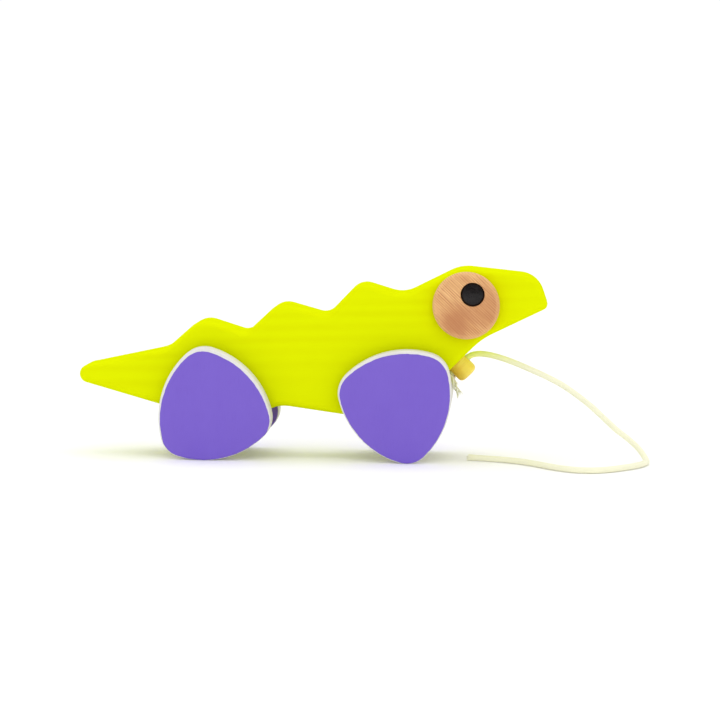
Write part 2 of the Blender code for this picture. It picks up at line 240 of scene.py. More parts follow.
# Loose yarns: how many, how far off the middle they start and how much further they end,
# the longest one's length, and the seed of their random draws.
FREE_END_FRAY = (46, (0.00125, 0.0004), 0.0021, 11)
TAIL_END_FRAY = (18, (0.0009, 0.0016), 0.0045, 5)
TAIL_SIDE_FRAY = (7, (0.0010, 0.0012), 0.0040, 8)
TAIL_SIDE_DIRECTION = Vector((1.0, 0.1, -0.35))
FRAY_SUNK = 0.0006           # length of a loose yarn that is hidden in the cord
FRAY_BEND = 0.00045
FRAY_RADII = (0.00013, 0.00024)
FRAY_TAPER = 0.55
FRAY_STEPS = 6
FRAY_SEGMENTS = 6


# ---------------------------------------------------------------- camera, light, floor

def add_camera():
    """The scene's camera, on the toy's right side and looking slightly down."""
    data = bpy.data.cameras.new("camera")
    data.lens = CAMERA_LENS
    data.sensor_width = CAMERA_SENSOR
    data.clip_start, data.clip_end = CAMERA_CLIP
    camera = bpy.data.objects.new("camera", data)
    bpy.context.scene.collection.objects.link(camera)
    turn = (Matrix.Rotation(CAMERA_YAW, 4, "Z")
            @ Matrix.Rotation(math.pi / 2.0 + CAMERA_PITCH, 4, "X")
            @ Matrix.Rotation(CAMERA_ROLL, 4, "Z"))
    camera.matrix_world = Matrix.Translation(CAMERA_PLACE) @ turn
    bpy.context.scene.camera = camera


def light_tent(tree):
    """Pale all round, white at the horizon, dimmer on the camera's side."""
    direction = tree.nodes.new("ShaderNodeTexCoord").outputs["Generated"]

    def brightness(axis, edge, before, after):
        """A value that changes smoothly with the angle between the view and an axis."""
        facing = tree.nodes.new("ShaderNodeVectorMath")
        facing.operation = "DOT_PRODUCT"
        facing.inputs[1].default_value = Vector(axis).normalized()
        tree.links.new(direction, facing.inputs[0])
        step = tree.nodes.new("ShaderNodeMapRange")
        step.interpolation_type = "SMOOTHSTEP"
        tree.links.new(facing.outputs["Value"], step.inputs["Value"])
        for socket, value in zip(("From Min", "From Max", "To Min", "To Max"),
                                 (*edge, before, after)):
            step.inputs[socket].default_value = value
        return step.outputs["Result"]

    product = tree.nodes.new("ShaderNodeMath")
    product.operation = "MULTIPLY"
    tree.links.new(brightness((0.0, 0.0, 1.0), SKY_EDGE, HORIZON_BRIGHTNESS, SKY_BRIGHTNESS),
                   product.inputs[0])
    tree.links.new(brightness(CAMERA_SIDE, CAMERA_SIDE_EDGE, 1.0, CAMERA_SIDE_SHARE),
                   product.inputs[1])
    background = tree.nodes["Background"]
    background.inputs["Color"].default_value = (1.0, 1.0, 1.0, 1.0)
    tree.links.new(product.outputs["Value"], background.inputs["Strength"])


def add_glow(name, strength, spread, direction, reflected):
    """A very soft distant light shining along a direction."""
    sun = bpy.data.lights.new(name, "SUN")
    sun.energy = strength
    sun.angle = math.radians(spread)
    glow = bpy.data.objects.new(name, sun)
    bpy.context.scene.collection.objects.link(glow)
    glow.rotation_mode = "QUATERNION"
    glow.rotation_quaternion = Vector(direction).to_track_quat("-Z", "Y")
    glow.visible_glossy = reflected


def add_studio():
    """The light tent, the two soft lights and a plain pale floor."""
    scene = bpy.context.scene
    scene.view_settings.view_transform = "Standard"
    world = bpy.data.worlds.new("studio")
    scene.world = world
    world.use_nodes = True
    light_tent(world.node_tree)
    for glow in GLOWS:
        add_glow(*glow)
    floor_mesh = bpy.data.meshes.new("floor")
    corners = [(-FLOOR_REACH, -FLOOR_REACH, 0.0), (FLOOR_REACH, -FLOOR_REACH, 0.0),
               (FLOOR_REACH, FLOOR_REACH, 0.0), (-FLOOR_REACH, FLOOR_REACH, 0.0)]
    floor_mesh.from_pydata(corners, [], [(0, 1, 2, 3)])
    floor = bpy.data.objects.new("floor", floor_mesh)
    scene.collection.objects.link(floor)
    floor_mesh.materials.append(floor_material())


# ---------------------------------------------------------------- materials

class Surface:
    """One node material, with short calls for the nodes that the finishes share."""

    def __init__(self, name, **constants):
        self.material = bpy.data.materials.new(name)
        self.material.use_nodes = True
        self.nodes = self.material.node_tree.nodes
        self.links = self.material.node_tree.links
        self.shader = self.nodes["Principled BSDF"]
        for socket, value in constants.items():
            self.shader.inputs[socket.replace("_", " ")].default_value = value
        self.place = self.nodes.new("ShaderNodeTexCoord").outputs["Object"]

    def set(self, socket, value):
        """Give a socket a plain value, or link another node's output to it."""
        if isinstance(value, (int, float, tuple)):
            socket.default_value = value
        else:
            self.links.new(value, socket)

    def add(self, kind, inputs, output=0, **settings):
        """One node with its inputs and settings; gives back one of its outputs."""
        node = self.nodes.new("ShaderNode" + kind)
        for name, value in settings.items():
            setattr(node, name, value)
        for key, value in inputs.items():
            self.set(node.inputs[key], value)
        return node.outputs[output]

    def grain_space(self, turn=(0.0, 0.0, 0.0), stretch=(1.0, 1.0, 1.0), shift=(0.0, 0.0, 0.0)):
        """Object coordinates in millimetres, turned, then divided by the stretch."""
        turned = self.add("Mapping", {"Vector": self.place, "Rotation": turn})
        scale = tuple(1.0 / (MM * length) for length in stretch)
        return self.add("Mapping", {"Vector": turned, "Scale": scale, "Location": shift})

    def noise(self, vector, scale=1.0, detail=2.0, roughness=0.5, distortion=0.0):
        return self.add("TexNoise", {"Vector": vector, "Scale": scale, "Detail": detail,
                                     "Roughness": roughness, "Distortion": distortion})

    def attribute(self, name):
        return self.add("Attribute", {}, output="Fac", attribute_name=name)

    def math(self, operation, first, second=0.0, clamp=False):
        return self.add("Math", {0: first, 1: second}, operation=operation, use_clamp=clamp)

    def scaled(self, value, low, high, to_low=0.0, to_high=1.0, smooth=False):
        """A value's range from low to high laid on another range."""
        return self.add("MapRange", {"Value": value, "From Min": low, "From Max": high,
                                     "To Min": to_low, "To Max": to_high},
                        interpolation_type="SMOOTHSTEP" if smooth else "LINEAR")

    def mix(self, share, first, second):
        """A colour between two others."""
        node = self.nodes.new("ShaderNodeMix")
        node.data_type = "RGBA"
        self.set(node.inputs["Factor"], share)
        self.set(node.inputs[6], colour(first))
        self.set(node.inputs[7], colour(second))
        return node.outputs[2]

    def bump(self, height, distance, strength=1.0, below=None):
        inputs = {"Height": height, "Distance": distance, "Strength": strength}
        if below is not None:
            inputs["Normal"] = below
        return self.add("Bump", inputs)

    def finish(self, base, roughness, normal):
        self.set(self.shader.inputs["Base Color"], base)
        self.set(self.shader.inputs["Roughness"], roughness)
        self.links.new(normal, self.shader.inputs["Normal"])
        return self.material


def colour(value):
    """A colour with its alpha; anything else comes back as it is."""
    return (*value, 1.0) if isinstance(value, tuple) and len(value) == 3 else value


def floor_material():
    """White card with a very faint mottle."""
    surface = Surface("studio_floor", Specular_IOR_Level=0.1, Emission_Strength=FLOOR_EMISSION,
                      Emission_Color=(1.0, 1.0, 1.0, 1.0))
    space = surface.grain_space(stretch=(40.0, 40.0, 40.0))
    tone = surface.noise(space, detail=3.0)
    base = surface.mix(tone, (0.955, 0.955, 0.955), (0.965, 0.965, 0.965))
    return surface.finish(base, 0.8, surface.bump(tone, 0.0001))


def lime_material():
    """Dead matt lime paint over a plank whose fine grain still shows."""
    surface = Surface("lime_painted_wood", Specular_IOR_Level=0.0)
    tilt = (0.0, math.radians(2.0), 0.0)
    figure_space = surface.grain_space(tilt, (95.0, 16.0, 9.0), (0.3, 2.2, -3.4))
    figure = surface.add("TexWave", {"Vector": figure_space, "Scale": 0.42, "Distortion": 2.6,
                                     "Detail": 2.0, "Detail Scale": 1.3}, output="Fac",
                         wave_type="RINGS", rings_direction="X")
    clouds = surface.noise(surface.grain_space(tilt, (60.0, 25.0, 14.0)), detail=3.0)
    fibres = surface.noise(surface.grain_space(tilt, (9.0, 0.35, 0.35)), detail=3.0)
    peel = surface.noise(surface.grain_space(stretch=(0.7, 0.7, 0.7)), detail=2.0)
    streaks = surface.math("MULTIPLY", figure, surface.scaled(clouds, 0.35, 0.65))
    base = surface.mix(streaks, (0.734, 0.822, 0.0012), (0.710, 0.782, 0.0009))
    shade = surface.scaled(fibres, 0.56, 0.74, 0.0, 0.30)
    base = surface.mix(shade, base, (0.672, 0.738, 0.0009))
    height = surface.math("ADD", surface.math("MULTIPLY", fibres, 0.7),
                          surface.math("MULTIPLY", peel, 0.3))
    roughness = surface.scaled(peel, 0.25, 0.75, 0.60, 0.80)
    return surface.finish(base, roughness, surface.bump(height, 0.00005, 0.7))


def wheel_material():
    """Matt purple faces inside a bare, white-stained edge."""
    surface = Surface("purple_painted_wood", Specular_IOR_Level=0.16)
    wobble = surface.noise(surface.grain_space(stretch=(3.5, 3.5, 3.5)), detail=3.0)
    edge = surface.math("ADD", surface.attribute("margin"),
                        surface.scaled(wobble, 0.3, 0.7, -PAINT_WOBBLE, PAINT_WOBBLE))
    painted = surface.scaled(edge, PAINT_MARGIN - PAINT_SOFTNESS, PAINT_MARGIN + PAINT_SOFTNESS,
                             smooth=True)
    fibres = surface.noise(surface.grain_space(stretch=(0.35, 2.0, 7.0)), detail=3.0)
    clouds = surface.noise(surface.grain_space(stretch=(13.0, 13.0, 22.0)), detail=3.0)
    peel = surface.noise(surface.grain_space(stretch=(0.6, 0.6, 0.6)), detail=2.0)
    purple = surface.mix(clouds, (0.185, 0.111, 0.565), (0.203, 0.127, 0.594))
    purple = surface.mix(surface.scaled(fibres, 0.55, 0.78, 0.0, 0.5), purple,
                         (0.163, 0.095, 0.520))
    bare = surface.mix(fibres, (0.79, 0.78, 0.765), (0.70, 0.685, 0.655))
    bare = surface.mix(surface.scaled(clouds, 0.5, 0.8, 0.0, 0.5), bare, (0.63, 0.61, 0.57))
    base = surface.mix(painted, bare, purple)
    height = surface.math("ADD", surface.math("MULTIPLY", fibres, 0.6),
                          surface.math("MULTIPLY", peel, 0.4))
    film = surface.math("MULTIPLY", painted, 1.2)
    height = surface.math("ADD", height, film)
    roughness = surface.scaled(peel, 0.25, 0.75, 0.50, 0.64)
    return surface.finish(base, roughness, surface.bump(height, 0.00005, 0.7))


def beech_material(name, turn, light, mid, dark, seed, patches=()):
    """Bare beech: fine straight lines, short dark flecks, darker patches where asked, and a paler
    rounded rim, partly painted highlight, where one is stored.

    The grain runs along the X axis after the turn; light, mid and dark are colours, and a
    patch is a place, a radius and a strength.
    """
    surface = Surface(name, Specular_IOR_Level=0.22)
    shift = (seed * 3.7, seed * 1.9, seed * 2.3)
    bands = surface.noise(surface.grain_space(turn, (70.0, 3.0, 3.0), shift), detail=2.0,
                          distortion=0.3)
    ridges = surface.add("TexWave", {"Vector": surface.grain_space(turn, (9.0, 1.0, 1.0), shift),
                                     "Scale": 0.27, "Distortion": 3.2, "Detail": 2.0,
                                     "Detail Scale": 0.35}, output="Fac",
                         wave_type="BANDS", bands_direction="Z")
    threads = surface.noise(surface.grain_space(turn, (12.0, 0.50, 0.50), shift), detail=2.0)
    flecks = surface.noise(surface.grain_space(turn, (2.4, 0.24, 0.24), shift), detail=1.0)
    lines = surface.scaled(ridges, 0.35, 1.0, smooth=True)
    lines = surface.math("MULTIPLY", lines, surface.scaled(threads, 0.35, 0.60, 0.35, 1.0))
    base = surface.mix(surface.scaled(bands, 0.36, 0.66), light, mid)
    base = surface.mix(surface.scaled(threads, 0.46, 0.66, 0.0, 0.35), base, dark)
    base = surface.mix(surface.math("MULTIPLY", lines, 0.85), base, dark)
    base = surface.mix(surface.scaled(flecks, 0.60, 0.70, 0.0, 0.50), base, dark)
    for place, radius, strength in patches:
        away = surface.add("VectorMath", {0: surface.place, 1: place}, output="Value",
                           operation="DISTANCE")
        away = surface.math("ADD", away, surface.scaled(bands, 0.3, 0.7, -0.003, 0.003))
        share = surface.scaled(away, 0.25 * radius, radius, strength, 0.0, smooth=True)
        base = surface.mix(share, base, dark)
    # paler towards a stored rim: sanded paleness, and a painted highlight where the rounded edge
    # catches light
    base = surface.mix(surface.math("MULTIPLY", surface.attribute("rim"), 0.40), base, light)
    height = surface.math("SUBTRACT", surface.math("MULTIPLY", threads, 0.5),
                          surface.math("ADD", surface.math("MULTIPLY", lines, 0.5),
                                       surface.scaled(flecks, 0.60, 0.72)))
    roughness = surface.scaled(threads, 0.3, 0.7, 0.50, 0.62)
    return surface.finish(base, roughness, surface.bump(height, 0.00005, 0.6))


def eye_beech(side, sign):
    """Beech with a reddish patch low behind the pupil, and a darker front half."""
    patches = [((EYE_X - 0.0055, sign * EYE_FRONT, EYE_Z - 0.0095), 0.013, 0.75),
               ((EYE_X + 0.0120, sign * EYE_FRONT, EYE_Z - 0.0010), 0.018, 0.50)]
    return beech_material("beech_eye_" + side, (0.0, EYE_GRAIN_TILT, 0.0),
                          (0.86, 0.525, 0.235), (0.74, 0.410, 0.170),
                          (0.47, 0.180, 0.078), 2.0 + sign, patches)


def peg_beech():
    """Yellowish beech, with painted shade, darker and more orange, on the side towards the chest
    and the near wheel.
    """
    # painted shade: a darker, more orange patch low on the chest side, towards the near wheel
    shaded_side = (PEG_FOOT + PEG_OUTWARD * 0.003 - PEG_UPWARD * 0.005
                   - Vector((0.0, 0.003, 0.0)))
    return beech_material("beech_peg", (0.0, math.radians(45.0), 0.0), (1.00, 0.92, 0.19),
                          (0.99, 0.82, 0.12), (0.82, 0.46, 0.02), 5.0,
                          [(tuple(shaded_side), 0.0095, 0.60)])


def black_material():
    """Satin black paint on the end of a dowel, with a little dust and brush texture, and lighter
    blotches of painted sheen.
    """
    surface = Surface("black_painted_wood", Specular_IOR_Level=0.25)
    rings = surface.noise(surface.grain_space(stretch=(0.8, 5.0, 0.8)), detail=3.0)
    dust = surface.noise(surface.grain_space(stretch=(0.22, 0.22, 0.22)), detail=2.0)
    # lighter blotches: painted sheen standing in for reflections on the plug's face
    painted_sheen = surface.noise(surface.grain_space(stretch=(2.2, 2.2, 2.2), shift=(0.0, 0.0, 1.4)),
                         detail=3.0)
    base = surface.mix(rings, (0.004, 0.003, 0.003), (0.008, 0.006, 0.006))
    base = surface.mix(surface.scaled(painted_sheen, 0.45, 0.70, 0.0, 0.8), base, (0.016, 0.013, 0.013))
    base = surface.mix(surface.scaled(dust, 0.66, 0.76, 0.0, 0.5), base, (0.08, 0.075, 0.07))
    roughness = surface.scaled(rings, 0.3, 0.7, 0.17, 0.28)
    return surface.finish(base, roughness, surface.bump(rings, 0.00005, 0.6))


def cotton_material():
    """Undyed braided cotton, with painted shade between the strands, and tinted lime near the peg.
    """
    surface = Surface("cotton_cord", Specular_IOR_Level=0.1, Sheen_Weight=0.25,
                      Sheen_Roughness=0.5)
    crown = surface.attribute("crown")
    fibres = surface.noise(surface.grain_space(stretch=(0.12, 0.12, 0.12)), detail=3.0)
    tone = surface.noise(surface.grain_space(stretch=(7.0, 7.0, 7.0)), detail=2.0)
    base = surface.mix(tone, (0.925, 0.915, 0.700), (0.900, 0.893, 0.665))
    # painted shade: darker where the braid's crown is low, in the valleys between strands and on
    # the cut ends
    base = surface.mix(surface.scaled(crown, 0.75, 0.15, 0.0, 0.55), base, (0.74, 0.71, 0.50))
    base = surface.mix(surface.scaled(fibres, 0.60, 0.75, 0.0, 0.4), base, (0.80, 0.78, 0.60))
    # lime tint, strongest next to the peg and fading along the cord
    base = surface.mix(surface.attribute("lime_tint"), base, (0.80, 0.88, 0.05))
    return surface.finish(base, 0.88, surface.bump(fibres, 0.00006, 0.8))


# ---------------------------------------------------------------- mesh building

def object_from_bmesh(name, bm, material, body, sharp_angle=SHARP_ANGLE):
    """A finished piece of the toy, riding on a body of the frame."""
    bmesh.ops.recalc_face_normals(bm, faces=bm.faces)
    mesh = bpy.data.meshes.new(name)
    bm.to_mesh(mesh)
    bm.free()
    mesh.shade_smooth()
    mesh.set_sharp_from_angle(angle=math.radians(sharp_angle))
    mesh.materials.append(material)
    piece = bpy.data.objects.new(name, mesh)
    bpy.context.scene.collection.objects.link(piece)
    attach(piece, body)
    return piece


def fillet_outline(corners, step):
    """Points of a closed outline whose corners are rounded by arcs."""
    points = []
    count = len(corners)
    for index, (x, z, radius) in enumerate(corners):
        here = Vector((x, z))
        back = (Vector(corners[index - 1][:2]) - here).normalized()
        ahead = (Vector(corners[(index + 1) % count][:2]) - here).normalized()
        half_opening = back.angle(ahead) / 2.0
        middle = (back + ahead).normalized()
        centre = here + middle * radius / math.sin(half_opening)
        start = here + back * radius / math.tan(half_opening) - centre
        turn = math.pi - 2.0 * half_opening
        if back.cross(ahead) > 0.0:
            turn = -turn
        pieces = max(2, math.ceil(abs(turn) / step))
        for piece in range(pieces + 1):
            arm = Matrix.Rotation(turn * piece / pieces, 2) @ start
            points.append(centre + arm)
    return points


def outline_normals(points):
    """The outward direction at each point of an anticlockwise outline, mitred."""
    normals = []
    count = len(points)
    for index, here in enumerate(points):
        before = (here - points[index - 1]).normalized()
        after = (points[(index + 1) % count] - here).normalized()
        normal_before = Vector((before.y, -before.x))
        normal_after = Vector((after.y, -after.x))
        normals.append((normal_before + normal_after) / (1.0 + normal_before.dot(normal_after)))
    return normals


def edge_profile(low, high, radius, steps):
    """(height, inset) rows across a plate's rounded rim, from one flat face to the other."""
    rows = [(low, radius + EDGE_SUPPORT)]
    for step in range(steps + 1):
        angle = math.pi / 2.0 * step / steps
        inset = radius * (1.0 - math.sin(angle))
        rows.append((low + radius * (1.0 - math.cos(angle)), inset))
    return rows + [(low + high - height, inset) for height, inset in reversed(rows)]


def join_rings(bm, rings):
    """Faces between each ring and the next; a ring of one point closes to a tip."""
    for lower, upper in zip(rings, rings[1:]):
        count = max(len(lower), len(upper))
        for index in range(count):
            after = (index + 1) % count
            corners = [lower[index % len(lower)], lower[after % len(lower)],
                       upper[after % len(upper)], upper[index % len(upper)]]
            bm.faces.new(list(dict.fromkeys(corners)))


def turned_rings(bm, profile, origin, axis, segments):
    """Rings of a turned shape; profile is (distance along the axis, radius)."""
    axis = Vector(axis).normalized()
    side = axis.orthogonal().normalized()
    across = axis.cross(side)
    rings = []
    for distance, radius in profile:
        centre = Vector(origin) + axis * distance
        if radius == 0.0:
            rings.append([bm.verts.new(centre)])
            continue
        arms = [2.0 * math.pi * index / segments for index in range(segments)]
        rings.append([bm.verts.new(centre + (side * math.cos(a) + across * math.sin(a)) * radius)
                      for a in arms])
    join_rings(bm, rings)


def rounded_end(radius, edge_radius, steps):
    """(distance from the end, radius) rows of a rod's rounded end, from its middle out."""
    rows = [(0.0, 0.0), (0.0, (radius - edge_radius) * 0.5)]
    for step in range(steps + 1):
        angle = math.pi / 2.0 * step / steps
        rows.append((edge_radius * (1.0 - math.cos(angle)),
                     radius - edge_radius * (1.0 - math.sin(angle))))
    return rows


def domed_front(radius, edge_radius, dome, dome_radius, steps, edge_steps):
    """(distance from the front, radius) rows of a rod's domed front, from its middle out."""
    flat = radius - edge_radius
    rows = [(0.0, 0.0)]
    for step in range(1, steps + 1):
        reach = flat * step / steps
        rows.append((dome * (reach / dome_radius) ** 2, reach))
    for step in range(1, edge_steps + 1):
        angle = math.pi / 2.0 * step / edge_steps
        rows.append((dome + edge_radius * (1.0 - math.cos(angle)),
                     radius - edge_radius * (1.0 - math.sin(angle))))
    return rows


def cut_holes(piece, holes):
    """Round holes, each (start, direction, depth, radius), cut with exact Booleans."""
    for start, direction, depth, radius in holes:
        bm = bmesh.new()
        turned_rings(bm, [(0.0, 0.0), (0.0, radius), (depth, radius), (depth, 0.0)],
                     start, direction, HOLE_SEGMENTS)
        bmesh.ops.recalc_face_normals(bm, faces=bm.faces)
        mesh = bpy.data.meshes.new("hole")
        bm.to_mesh(mesh)
        bm.free()
        cutter = bpy.data.objects.new("hole", mesh)
        bpy.context.scene.collection.objects.link(cutter)
        modifier = piece.modifiers.new("hole", "BOOLEAN")
        modifier.operation = "DIFFERENCE"
        modifier.solver = "EXACT"
        modifier.object = cutter
        bpy.context.view_layer.update()
        evaluated = piece.evaluated_get(bpy.context.evaluated_depsgraph_get())
        cut = bpy.data.meshes.new_from_object(evaluated)
        piece.modifiers.clear()
        piece.data = cut
        bpy.data.objects.remove(cutter)
    piece.data.shade_smooth()
    piece.data.set_sharp_from_angle(angle=math.radians(SHARP_ANGLE))


def smooth_route(route, samples):
    """Points spread evenly along a smooth curve through the route points."""
    points = [Vector(point) for point in route]
    points = [2.0 * points[0] - points[1]] + points + [2.0 * points[-1] - points[-2]]
    dense = []
    steps = 24
    for index in range(1, len(points) - 2):
        four = points[index - 1:index + 3]
        for step in range(steps):
            dense.append(curve_point(four, step / steps))
    dense.append(points[-2])
    travelled = [0.0]
    for first, second in zip(dense, dense[1:]):
        travelled.append(travelled[-1] + (second - first).length)
    even = []
    place = 0
    for sample in range(samples):
        target = travelled[-1] * sample / (samples - 1)
        while place < len(travelled) - 2 and travelled[place + 1] < target:
            place += 1
        share = (target - travelled[place]) / (travelled[place + 1] - travelled[place])
        even.append(dense[place].lerp(dense[place + 1], share))
    return even


def curve_point(four, share):
    """The point at a share of the way from the second to the third of four points."""
    before, here, ahead, beyond = four
    span = (ahead - here).length
    leave = tangent(before, here, ahead) * span
    arrive = tangent(here, ahead, beyond) * span
    return (here * (2.0 * share ** 3 - 3.0 * share ** 2 + 1.0)
            + leave * (share ** 3 - 2.0 * share ** 2 + share)
            + ahead * (3.0 * share ** 2 - 2.0 * share ** 3)
            + arrive * (share ** 3 - share ** 2))


def tangent(before, here, ahead):
    """The curve's direction at the middle one of three points, weighted to the nearer."""
    back, forth = here - before, ahead - here
    weighted = back / back.length ** 2 + forth / forth.length ** 2
    return weighted * back.length * forth.length / (back.length + forth.length)


def braid_crown(around, along):
    """Height from 0 to 1 of a two-way braid at a share of the way round and a length."""
    one_way = BRAID_STRANDS * (around + along / BRAID_LEAD)
    other_way = BRAID_STRANDS * (around - along / BRAID_LEAD)
    over = 1.0 if (math.floor(one_way) + math.floor(other_way)) % 2 == 0 else -1.0
    first = math.sin(math.pi * (one_way % 1.0))
    second = math.sin(math.pi * (other_way % 1.0))
    heights = (0.62 * first + 0.38 * over * second, 0.62 * second - 0.38 * over * first)
    return max(0.0, max(heights))


def add_strand(bm, crown_layer, path, radius_at, segments, relief=0.0):
    """A closed tube along a path, with a braided surface where there is relief."""
    rings = []
    travelled = 0.0
    side = (path[1] - path[0]).orthogonal().normalized()
    for index, point in enumerate(path):
        ahead = path[min(index + 1, len(path) - 1)]
        behind = path[max(index - 1, 0)]
        along = (ahead - behind).normalized()
        side = (side - along * side.dot(along)).normalized()
        across = along.cross(side)
        if index > 0:
            travelled += (point - path[index - 1]).length
        radius = radius_at(index / (len(path) - 1), travelled)
        ring = []
        for step in range(segments):
            share = step / segments
            angle = 2.0 * math.pi * share
            crown = braid_crown(share, travelled) if relief else PLAIN_CROWN
            reach = radius - relief * (1.0 - crown)
            vert = bm.verts.new(point + (side * math.cos(angle) + across * math.sin(angle)) * reach)
            vert[crown_layer] = crown
            ring.append(vert)
        rings.append(ring)
    for end, ring in ((path[0], rings[0]), (path[-1], rings[-1])):
        middle = bm.verts.new(end)
        middle[crown_layer] = END_CROWN
        for step in range(segments):
            bm.faces.new((middle, ring[step], ring[(step + 1) % segments]))
    join_rings(bm, rings)


def twisted(path, off, lead, phase):
    """One yarn of a twisted strand: a path that winds round another."""
    travelled = 0.0
    side = (path[1] - path[0]).orthogonal().normalized()
    yarn = []
    for index, point in enumerate(path):
        along = (path[min(index + 1, len(path) - 1)] - path[max(index - 1, 0)]).normalized()
        side = (side - along * side.dot(along)).normalized()
        if index > 0:
            travelled += (point - path[index - 1]).length
        angle = 2.0 * math.pi * (phase + travelled / lead)
        yarn.append(point + (side * math.cos(angle) + along.cross(side) * math.sin(angle)) * off)
    return yarn


def add_fray(bm, crown_layer, place, direction, count, spread, length, seed):
    """Loose yarn ends that fan out from a place on the cord."""
    rng = random.Random(seed)
    along = direction.normalized()
    side = along.orthogonal().normalized()
    across = along.cross(side)
    for _ in range(count):
        angle = rng.uniform(0.0, 2.0 * math.pi)
        off = math.sqrt(rng.random())
        arm = side * math.cos(angle) + across * math.sin(angle)
        start = place + arm * off * spread[0] - along * FRAY_SUNK
        reach = length * rng.uniform(0.45, 1.0)
        bend = side * rng.uniform(-1.0, 1.0) + across * rng.uniform(-1.0, 1.0)
        points = []
        for step in range(FRAY_STEPS + 1):
            share = step / FRAY_STEPS
            drift = arm * off * spread[1] * share + bend * FRAY_BEND * share * share
            points.append(start + along * reach * share + drift)
        radius = rng.uniform(*FRAY_RADII)
        add_strand(bm, crown_layer, points, lambda share, _: radius * (1.0 - FRAY_TAPER * share),
                   FRAY_SEGMENTS)


# ---------------------------------------------------------------- pieces

def make_cord(cotton):
    """The braided cord along its route, with its knot and its loose end."""
    path = smooth_route(CORD_ROUTE, CORD_RINGS)
    bm = bmesh.new()
    bm.verts.layers.float.new("crown")
    lime_tint = bm.verts.layers.float.new("lime_tint")
    crown = bm.verts.layers.float["crown"]

    def radius_at(share, travelled):
        """The cord's radius: slightly uneven, and thicker at its bare end."""
        lump = noise.noise(Vector((travelled / CORD_LUMP_LENGTH, 3.1, 0.0))) * CORD_LUMP
        flare = max(0.0, (share - CORD_FLARE_START) / CORD_FLARE_SHARE) * CORD_FLARE
        return CORD_DIAMETER / 2.0 + lump + flare

    add_strand(bm, crown, path, radius_at, CORD_SEGMENTS, BRAID_RELIEF)
    for vert in bm.verts:
        away = (vert.co - Vector(CORD_EXIT)).length
        vert[lime_tint] = LIME_TINT_STRENGTH * max(0.0, 1.0 - away / LIME_TINT_REACH) ** 1.5
    cord = object_from_bmesh("cord", bm, cotton, "toy_body", CORD_SHARP_ANGLE)
    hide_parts("pull_cord")
    knot = make_knot(cotton)
    fray = make_free_end(cotton, path)


def make_free_end(cotton, path):
    """Loose yarns on the cord's bare end."""
    bm = bmesh.new()
    crown = bm.verts.layers.float.new("crown")
    direction = path[-1] - path[-6]
    add_fray(bm, crown, path[-1], direction, *FREE_END_FRAY)
    return object_from_bmesh("cord_free_end", bm, cotton, "toy_body",
                             CORD_SHARP_ANGLE)


def knot_point(outward, across, upward):
    """A point given from the knot's centre along the peg, across it and up the chest."""
    return (KNOT_CENTRE + PEG_OUTWARD * outward + Vector((0.0, across, 0.0))
            + PEG_UPWARD * upward)


def make_knot(cotton):
    """Two wraps round a core under the peg, and a tail of three frayed yarns."""
    bm = bmesh.new()
    crown = bm.verts.layers.float.new("crown")
    wraps = [knot_point(0.0, 0.0, 0.0010), knot_point(0.0, 0.0, KNOT_LOW),
             knot_point(0.0010, 0.0004, -0.0031)]
    steps = 40
    for step in range(steps + 1):
        angle = 2.0 * math.pi * KNOT_TURNS * step / steps
        rise = KNOT_LOW + KNOT_RISE * step / steps
        wraps.append(knot_point(KNOT_WRAP * math.cos(angle), KNOT_WRAP * math.sin(angle), rise))
    wraps.append(knot_point(0.0008, 0.0006, 0.0026))
    wraps.append(knot_point(0.0, 0.0, 0.0020))
    core = [knot_point(-0.0004, 0.0, 0.0042), knot_point(0.0, 0.0, 0.0010),
            knot_point(0.0, 0.0, -0.0024)]
    for route, rings, radius in ((wraps, 190, KNOT_STRAND), (core, 24, KNOT_CORE)):
        add_strand(bm, crown, smooth_route(route, rings), lambda share, _: radius,
                   KNOT_SEGMENTS, KNOT_RELIEF)
    tail = smooth_route(TAIL_ROUTE, 46)
    for turn in range(TAIL_YARNS):
        yarn = twisted(tail, TAIL_YARN_OFF, TAIL_YARN_LEAD, turn / TAIL_YARNS)
        add_strand(bm, crown, yarn, lambda share, _: TAIL_YARN_RADIUS - TAIL_YARN_TAPER * share,
                   TAIL_YARN_SEGMENTS, YARN_RELIEF)
    add_fray(bm, crown, tail[-1], tail[-1] - tail[-5], *TAIL_END_FRAY)
    add_fray(bm, crown, tail[26], TAIL_SIDE_DIRECTION, *TAIL_SIDE_FRAY)
    knot = object_from_bmesh("cord_knot_and_tail", bm, cotton, "toy_body",
                             CORD_SHARP_ANGLE)
    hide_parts("cord_knot")
    return knot


def make_body(lime):
    """The plank with its rounded edges, axle bores, pupil holes and peg hole."""
    outline = fillet_outline(BODY_CORNERS, BODY_CORNER_STEP)
    normals = outline_normals(outline)
    half = BODY_THICKNESS / 2.0
    bm = bmesh.new()
    rings = []
    for y, inset in edge_profile(-half, half, BODY_EDGE_RADIUS, EDGE_STEPS):
        rings.append([bm.verts.new((p.x - n.x * inset, y, p.y - n.y * inset))
                      for p, n in zip(outline, normals)])
    join_rings(bm, rings)
    bm.faces.new(rings[0])
    bm.faces.new(rings[-1])
    body = object_from_bmesh("body_plank", bm, lime, "toy_body")
    over = HOLE_OVERSHOOT
    holes = []
    for _, x, z, _, _ in AXLE_SETS.values():
        holes.append(((x, -half - over, z), (0.0, 1.0, 0.0), BODY_THICKNESS + 2.0 * over,
                      BORE_RADIUS))
    for sign in SIDES.values():
        holes.append(((PUPIL_X, sign * (half + over), PUPIL_Z), (0.0, -sign, 0.0),
                      half + over - PUPIL_FOOT + HOLE_CLEARANCE, PUPIL_HOLE_RADIUS))
    holes.append((PEG_FOOT + PEG_OUTWARD * over, -PEG_OUTWARD, PEG_HOLE_DEPTH + over,
                  PEG_RADIUS + HOLE_CLEARANCE))
    cut_holes(body, holes)
    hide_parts("body")


